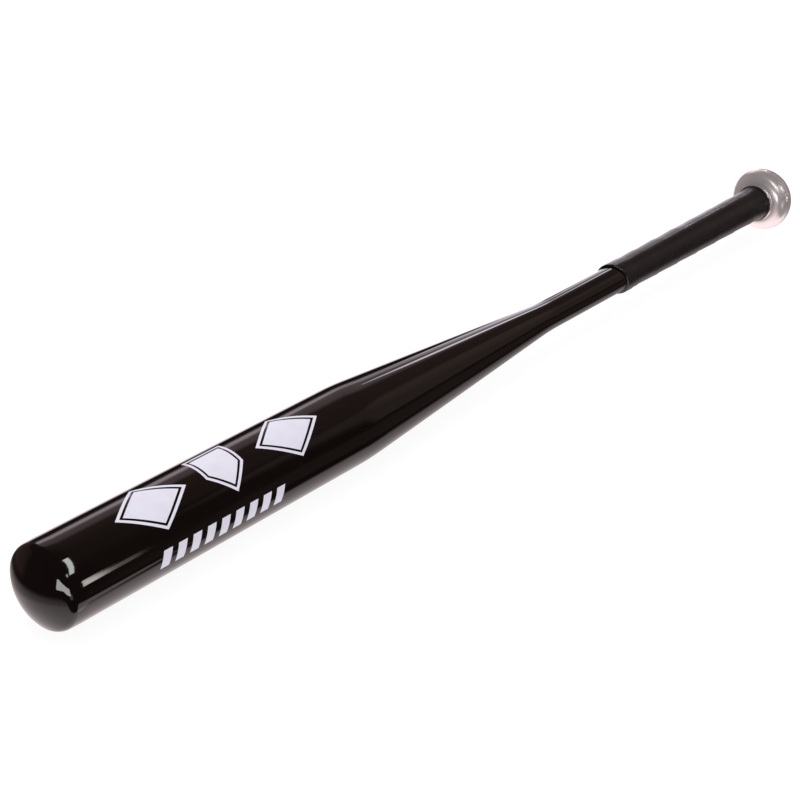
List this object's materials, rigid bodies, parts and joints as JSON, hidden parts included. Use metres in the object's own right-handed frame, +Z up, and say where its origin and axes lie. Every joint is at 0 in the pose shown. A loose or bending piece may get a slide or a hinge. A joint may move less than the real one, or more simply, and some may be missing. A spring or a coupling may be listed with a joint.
{
  "type": "baseball bat",
  "caption": "One-piece tubular metal bat with a rounded closed barrel end, a long cone down to a thin handle, a wound tape grip with an upper collar, and a turned knob.",
  "frame": {"origin": "centre of the flat land on the knob's outer end face", "axes": "+X along the bat's axis from the barrel's tip towards the knob, and out of the knob's face. +Z up with the bat lying down, and the print facing -Y and upwards."},
  "size_m": [0.864, 0.0572, 0.0573],
  "materials": {
    "lacquered_tube": "gloss",
    "polished_metal": "polished",
    "backing_tape": "matte",
    "grip_tape": "satin",
    "collar": "satin",
    "pale_ink": "satin"
  },
  "bodies": {
    "root": {"bat_tube": "lacquered_tube", "knob": "polished_metal", "knob_weld": "polished_metal", "grip_underlay": "backing_tape", "grip_tape": "grip_tape", "grip_collar": "collar", "grip_end_band": "grip_tape", "print_fill": "pale_ink", "print_outline": "pale_ink", "print_bars": "pale_ink"}
  },
  "joints": []
}
